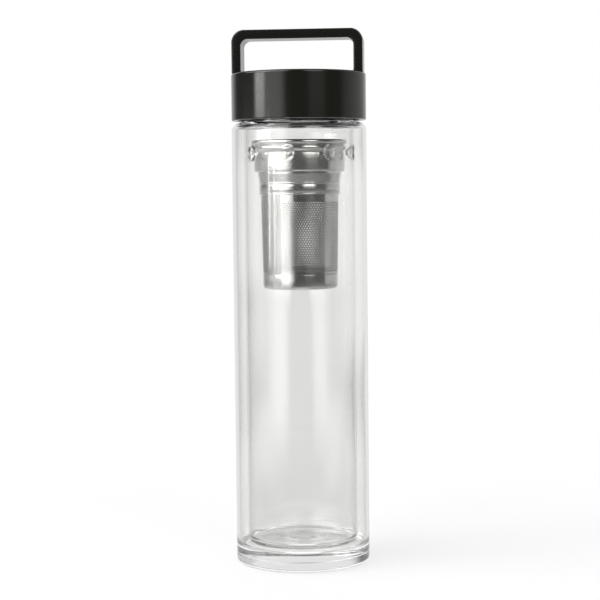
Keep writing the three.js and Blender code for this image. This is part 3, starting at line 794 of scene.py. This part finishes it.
def lid_shell():
    """Cap with a softly rounded top edge and a snap bead inside its rim."""
    top, bottom = shell_high.z, shell_low.z
    under = top - LID_PLATE
    bead_bottom = bottom + LID_RIM_ROUND
    bead_top = bead_bottom + SNAP_BEAD_HEIGHT
    bead_bore = shell_bore - SNAP_BEAD
    return turned("lid_cap", rounded([
        (0, under, 0),
        (shell_bore, under, LID_RIM_ROUND),
        (shell_bore, bead_top, 0),
        (bead_bore, bead_top - SNAP_BEAD, 0),
        (bead_bore, bead_bottom, 0),
        (shell_bore, bottom, 0),
        (body_radius, bottom, LID_RIM_ROUND),
        (body_radius, top, LID_EDGE_RADIUS),
        (0, top, 0),
    ]))


lid_thread_drop = (THREAD_FOOT + THREAD_CREST) / 2 + THREAD_FLANK_GAP
lid_thread_start = liner_low.z + THREAD_ABOVE_LINER_EDGE + THREAD_FOOT / 2
lid_thread_turns = (thread_end - lid_thread_drop - lid_thread_start) / THREAD_LEAD
lid_thread_lag = (lid_thread_start + lid_thread_drop - thread_start) / THREAD_LEAD


def liner_shape(angles, radii, heights):
    """The lid's thread, standing inwards from the liner's bore."""
    inside = np.abs(radii - liner_bore) < LINER_WALL / 2
    depth = liner_bore - vessel_radius - THREAD_CLEARANCE
    turn = THREAD_TURN + 360 * lid_thread_lag
    thread = ridge(angles, heights, lid_thread_start, turn, lid_thread_turns)
    return -depth * inside * thread, np.zeros_like(radii)


def lid_liner():
    """Inner cap with the lid's thread."""
    bottom, top = liner_low.z, liner_high.z
    ceiling = top - LINER_PLATE
    outline = rounded([
        (0, ceiling, 0),
        (liner_bore, ceiling, LINER_LEAD_IN),
        (liner_bore, bottom + 2 * LINER_LEAD_IN, 0),
        (liner_bore + LINER_LEAD_IN, bottom, 0),
        (liner_radius, bottom, 0),
        (liner_radius, top, LINER_LEAD_IN),
        (0, top, 0),
    ])
    outline = refined(outline, bottom, thread_end)
    return turned("lid_inner_cap", outline, bulge=liner_shape)


def lid_gasket():
    """Soft sealing ring with rounded edges."""
    outside, inside = gasket_high.x, bore - GASKET_OVERHANG
    return turned("seal_ring", rounded([
        (inside, gasket_low.z, GASKET_EDGE),
        (outside, gasket_low.z, GASKET_EDGE),
        (outside, gasket_high.z, GASKET_EDGE),
        (inside, gasket_high.z, GASKET_EDGE),
    ]))


def handle_path():
    """Pairs of points on the strap's outside and inside, from the right foot over to the left one."""
    half, top = handle_high.x, handle_high.z
    foot = shell_high.z + FOOT_CONTACT
    inside, under = half - HANDLE_THICKNESS, top - HANDLE_THICKNESS
    flare, outer, inner = HANDLE_FOOT_FLARE, HANDLE_OUTER_RADIUS, HANDLE_INNER_RADIUS
    fillet = arc(inside - flare, foot + flare, flare, *HANDLE_FLARE_ARC)
    right = [((half, z), (x, z)) for x, z in fillet]
    right[0] = ((half, foot), (fillet[0][0], foot))
    outer_bend = arc(half - outer, top - outer, outer, *QUARTER, HANDLE_ARC_STEPS)
    inner_bend = arc(inside - inner, under - inner, inner, *QUARTER, HANDLE_ARC_STEPS)
    right += zip(outer_bend, inner_bend)
    left = [((-a, b), (-c, d)) for (a, b), (c, d) in reversed(right)]
    return right + left


def strap_handle():
    """Strap with rounded long edges, swept over the lid."""
    half = handle_high.y
    vertices, faces = [], []
    for outside, inside in handle_path():
        outside, inside = Vector(outside), Vector(inside)
        across = (outside - inside).length
        section = rounded([
            (0, -half, HANDLE_EDGE),
            (across, -half, HANDLE_EDGE),
            (across, half, HANDLE_EDGE),
            (0, half, HANDLE_EDGE),
        ], EDGE_STEPS)
        way = (outside - inside) / across
        for out, y in section:
            x, z = inside + way * out
            vertices.append((x, y, z))
    size = len(section)
    count = len(vertices) // size
    for i in range(count - 1):
        for j in range(size):
            k = (j + 1) % size
            lower, upper = i * size, (i + 1) * size
            faces.append((lower + j, lower + k, upper + k, upper + j))
    faces.append(tuple(range(size - 1, -1, -1)))
    faces.append(tuple(range((count - 1) * size, count * size)))
    return make_piece("strap_handle", vertices, faces)


# Everything in its place
thick_glass = new_material("jacket_glass", clear_glass, JACKET_TINTS, JACKET_LIGHTER_HEIGHTS)
thin_glass = new_material("vessel_glass", clear_glass, VESSEL_TINTS, VESSEL_LIGHTER_HEIGHTS)
steel = new_material("polished_steel", polished_steel)
sheet = new_material("perforated_steel", perforated_steel)
black = {name: new_material(name, moulded_plastic, *finish) for name, finish in PLASTIC_FINISHES.items()}
jacket = dress(outer_jacket(), "outer_jacket", "flask", thick_glass)
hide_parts("base_disc")
dress(inner_vessel(), "inner_vessel", "flask", thin_glass)
dress(infuser_collar(), "infuser_collar", "infuser", steel)
dress(infuser_ring(), "infuser_ring", "infuser", steel)
dress(infuser_cup(), "infuser_cup", "infuser", sheet)  # finished like the plain bands
dress(infuser_sleeve(), "infuser_sleeve", "infuser", sheet)
dress(lid_shell(), "lid_shell", "lid", black["lid_black"])
dress(lid_liner(), "lid_liner", "lid", black["liner_black"])
dress(lid_gasket(), "lid_gasket", "lid_seal", new_material("silicone", silicone))
dress(strap_handle(), "handle", "lid", black["handle_black"])
screw = new_material("screw_steel", screw_steel)
for node in ("handle_screw_left", "handle_screw_right"):
    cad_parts[node].data.materials.clear()
    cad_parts[node].data.materials.append(screw)


# Camera
def place_camera():
    """Camera at the photograph's viewing angle, with no shift."""
    camera = bpy.data.objects.new("camera", bpy.data.cameras.new("camera"))
    camera.data.lens = CAMERA_LENS
    scene.collection.objects.link(camera)
    azimuth = math.radians(CAMERA_AZIMUTH)
    across = Vector((math.sin(azimuth), -math.cos(azimuth), 0)) * CAMERA_DISTANCE
    camera.matrix_world = (
        Matrix.Translation(across + Vector((0, 0, CAMERA_HEIGHT)))
        @ Matrix.Rotation(azimuth + math.radians(CAMERA_AIM), 4, "Z")
        @ Matrix.Rotation(math.radians(90 + CAMERA_PITCH), 4, "X")
        @ Matrix.Rotation(math.radians(CAMERA_ROLL), 4, "Z")
    )
    scene.camera = camera


# Studio
def reflected_path(tree):
    """1 on a path that has been reflected, and 0 on one that comes straight or only through glass."""
    path = add_node(tree, "ShaderNodeLightPath").outputs
    bounces = math_node(tree, "ADD", path["Glossy Depth"], path["Diffuse Depth"])
    return math_node(tree, "MINIMUM", bounces, 1.0)


def studio_light(tree, flat, height, light):
    """Brightness of one soft light in each direction."""
    azimuth, half, edge, low, high, rim, brightness = light
    azimuth, outer, inner = (math.radians(a) for a in (azimuth, half + edge, half - edge))
    level = brightness
    if outer < math.pi:
        facing = vector_node(tree, "DOT_PRODUCT", flat, (math.sin(azimuth), -math.cos(azimuth), 0))
        across = smooth_range(tree, facing.outputs["Value"], math.cos(outer), math.cos(inner))
        level = math_node(tree, "MULTIPLY", level, across)
    for start, end in ((low - rim, low + rim), (high + rim, high - rim)):
        if -90 < start < 90:
            ends = (math.sin(math.radians(elevation)) for elevation in (start, end))
            level = math_node(tree, "MULTIPLY", level, smooth_range(tree, height, *ends))
    return level


def studio_world():
    """White where it is seen straight or through glass, and soft lights in a dim room for reflections."""
    scene.world = bpy.data.worlds.new("studio")
    tree = empty_tree(scene.world)
    direction = add_node(tree, "ShaderNodeTexCoord").outputs["Generated"]
    level = vector_node(tree, "MULTIPLY", direction, (1, 1, 0)).outputs["Vector"]
    flat = vector_node(tree, "NORMALIZE", level).outputs["Vector"]
    height = add_node(tree, "ShaderNodeSeparateXYZ", {"Vector": direction}).outputs["Z"]
    total = STUDIO_LEVEL
    for light in STUDIO_LIGHTS:
        total = math_node(tree, "MAXIMUM", total, studio_light(tree, flat, height, light))
    beyond_white = math_node(tree, "SUBTRACT", total, 1.0)
    strength = math_node(tree, "MULTIPLY_ADD", reflected_path(tree), beyond_white, 1.0)
    background = add_node(tree, "ShaderNodeBackground", {"Color": WHITE, "Strength": strength})
    add_node(tree, "ShaderNodeOutputWorld", {"Surface": background.outputs["Background"]})


def studio_floor():
    """Pale floor that keeps a soft shadow. Reflections see the studio's table top in its place."""
    vertices = [(FLOOR_RADIUS * math.cos(a), FLOOR_RADIUS * math.sin(a), -FLOOR_DROP)
                for a in np.arange(SEGMENTS) * 2 * math.pi / SEGMENTS]
    floor = make_piece("floor", vertices, [tuple(range(SEGMENTS))])
    material = bpy.data.materials.new("floor")
    tree = empty_tree(material)
    matte = add_node(tree, "ShaderNodeBsdfDiffuse", {"Color": (FLOOR_ALBEDO,) * 3 + (1,)})
    glow = add_node(tree, "ShaderNodeEmission", {"Strength": FLOOR_GLOW})
    both = add_node(tree, "ShaderNodeAddShader", {0: matte.outputs[0], 1: glow.outputs[0]})
    clear = add_node(tree, "ShaderNodeBsdfTransparent")
    shadow = add_node(tree, "ShaderNodeLightPath").outputs["Is Shadow Ray"]
    unseen = math_node(tree, "MAXIMUM", reflected_path(tree), shadow)
    mix = add_node(tree, "ShaderNodeMixShader", {0: unseen, 1: both.outputs[0], 2: clear.outputs[0]})
    add_node(tree, "ShaderNodeOutputMaterial", {"Surface": mix.outputs[0]})
    floor.data.materials.append(material)


place_camera()
studio_world()
studio_floor()
scene.view_settings.view_transform = "Standard"
scene.cycles.max_bounces = GLASS_BOUNCES
scene.cycles.transmission_bounces = GLASS_BOUNCES
scene.cycles.glossy_bounces = STEEL_BOUNCES
